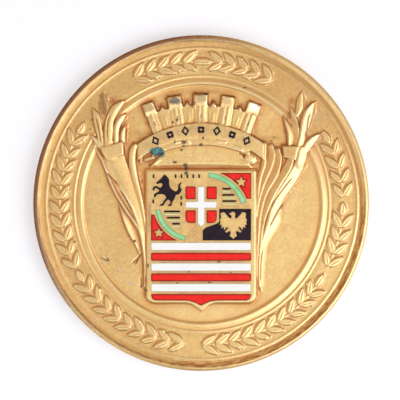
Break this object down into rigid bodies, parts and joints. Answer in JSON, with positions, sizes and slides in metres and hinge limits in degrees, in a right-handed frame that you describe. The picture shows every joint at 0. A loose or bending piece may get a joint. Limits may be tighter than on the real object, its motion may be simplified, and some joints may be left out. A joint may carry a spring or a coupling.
{
  "type": "enamelled table medal",
  "caption": "Round struck gilt-bronze table medal, face up, with a mural crown over a shield of red, white, black and green enamel between two leaf sheaves.",
  "frame": {"origin": "centre of the flat back", "axes": "+Z out of the face, +Y towards the crown at the top of the design, +X to the right seen from the face"},
  "size_m": [0.06, 0.06, 0.0036],
  "materials": {
    "gilt_bronze": "satin gilding with toning in the hollows",
    "white_enamel": "gloss",
    "red_enamel": "gloss",
    "green_enamel": "gloss",
    "cream_enamel": "gloss",
    "black_enamel": "gloss"
  },
  "bodies": {
    "root": {"medal_body": "gilt_bronze", "white_cross": "white_enamel", "white_bar_1": "white_enamel", "white_bar_2": "white_enamel", "white_bar_3": "white_enamel", "red_bar_1": "red_enamel", "red_bar_2": "red_enamel", "red_bar_3": "red_enamel", "red_canton_1": "red_enamel", "red_canton_2": "red_enamel", "red_canton_3": "red_enamel", "red_canton_4": "red_enamel", "red_corner_1": "red_enamel", "red_corner_2": "red_enamel", "green_bend_1": "green_enamel", "green_bend_2": "green_enamel", "cream_slip_1": "cream_enamel", "cream_slip_2": "cream_enamel", "cream_slip_3": "cream_enamel", "cream_slip_4": "cream_enamel", "cream_slip_5": "cream_enamel", "cream_slip_6": "cream_enamel", "black_horse": "black_enamel", "black_ground": "black_enamel", "black_slip_1": "black_enamel", "black_slip_2": "black_enamel", "black_slip_3": "black_enamel", "black_slip_4": "black_enamel", "black_slip_5": "black_enamel", "black_slip_6": "black_enamel", "billet_1": "black_enamel", "billet_2": "black_enamel", "billet_3": "black_enamel", "billet_4": "black_enamel", "billet_5": "black_enamel", "billet_6": "black_enamel", "billet_7": "black_enamel", "billet_8": "black_enamel", "billet_9": "black_enamel", "crown_mark_1": "black_enamel", "crown_mark_2": "black_enamel", "crown_mark_3": "black_enamel", "crown_mark_4": "black_enamel", "crown_mark_5": "black_enamel", "crown_mark_6": "black_enamel", "crown_mark_7": "black_enamel"}
  },
  "joints": []
}
